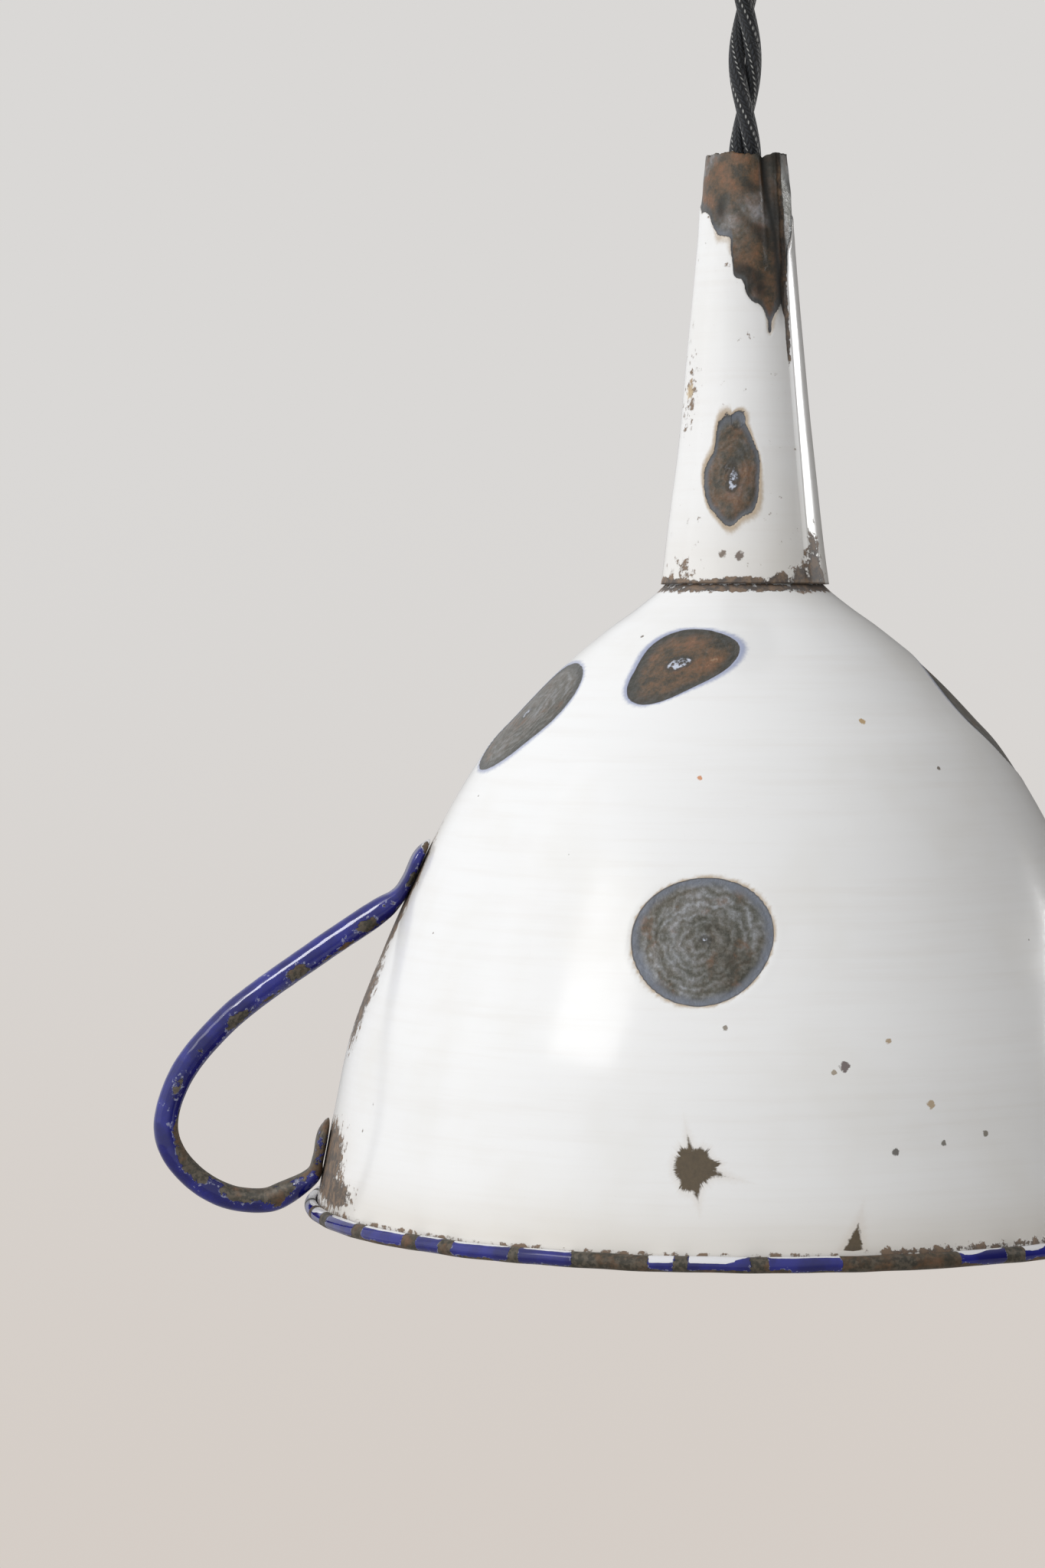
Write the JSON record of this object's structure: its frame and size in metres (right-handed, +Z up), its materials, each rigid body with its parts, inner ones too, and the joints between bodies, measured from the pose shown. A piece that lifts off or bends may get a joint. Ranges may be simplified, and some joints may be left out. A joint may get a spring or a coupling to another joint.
{
  "type": "pendant lamp",
  "caption": "Pendant lamp made from an old white enamel canning funnel with a blue side handle, hung spout up on a twisted textile flex from a ceiling rose, with lampholder and bulb.",
  "frame": {"origin": "middle of the ceiling rose's base plate, on the face that meets the ceiling", "axes": "+Z up, out of the ceiling face; the flex hangs down the Z axis; the funnel's handle points along -X"},
  "size_m": [0.2011, 0.1718, 0.2825],
  "materials": {
    "white_enamel": "gloss vitreous enamel on steel, chipped and rusted",
    "blue_enamel": "gloss cobalt-blue vitreous enamel, worn",
    "steel_wire": "plain drawn wire",
    "zinc_steel": "zinc plated",
    "brass": "satin, slightly aged",
    "black_bakelite": "moulded phenolic, semi-gloss",
    "porcelain": "glazed",
    "flex_braid": "black textile braid with pale tracer threads",
    "brown_core": "insulation",
    "blue_core": "insulation",
    "bulb_cap_metal": "pressed, satin",
    "solder": "dull solder",
    "black_glass": "vitrite",
    "bulb_glass": "clear",
    "filament": "coated filament"
  },
  "bodies": {
    "ceiling_rose": {"rose_plate": "black_bakelite", "rose_cup": "black_bakelite", "rose_cup_screw_front": "brass", "rose_cup_screw_back": "brass", "rose_terminal_block": "porcelain", "rose_terminal_screw_live": "brass", "rose_terminal_screw_neutral": "brass", "rose_core_live": "brown_core", "rose_core_neutral": "blue_core", "rose_grip": "brass", "rose_grip_nut": "brass", "rose_grip_screw": "zinc_steel", "flex_in_rose": "flex_braid"},
    "flex_upper": {"flex_bend": "flex_braid"},
    "flex_lower": {"flex_drop": "flex_braid"},
    "pendant": {"bowl_shell": "white_enamel", "rim_wire": "steel_wire", "spout_tube": "white_enamel", "handle": "blue_enamel", "support_washer": "zinc_steel", "lock_washer": "zinc_steel", "nipple_nut": "brass", "nipple": "brass", "cord_grip": "brass", "cord_grip_screw": "zinc_steel", "flex_in_holder": "flex_braid", "holder_cap": "black_bakelite", "contact_block": "porcelain", "terminal_screw_live": "brass", "terminal_screw_neutral": "brass", "core_live": "brown_core", "core_neutral": "blue_core", "centre_contact": "brass", "screw_shell": "brass", "holder_skirt": "black_bakelite"},
    "bulb": {"bulb_button": "solder", "bulb_insulator": "black_glass", "bulb_cap": "bulb_cap_metal", "bulb_glass": "bulb_glass", "bulb_stem": "bulb_glass", "bulb_filament": "filament"}
  },
  "joints": [
    {"name": "swing_sideways", "type": "hinge", "parent": "ceiling_rose", "child": "flex_upper", "pos_m": [0, 0, -0.04185], "axis": [0, 1, 0], "range_deg": [-20, 20]},
    {"name": "swing_fore_aft", "type": "hinge", "parent": "flex_upper", "child": "flex_lower", "pos_m": [0, 0, -0.0504], "axis": [1, 0, 0], "range_deg": [-20, 20]},
    {"name": "flex_twist", "type": "hinge", "parent": "flex_lower", "child": "pendant", "pos_m": [0, 0, -0.148], "axis": [0, 0, 1], "range_deg": [-90, 90]},
    {"name": "bulb_out", "type": "slide", "parent": "pendant", "child": "bulb", "axis": [0, 0, -1], "range_m": [0, 0.018]}
  ]
}
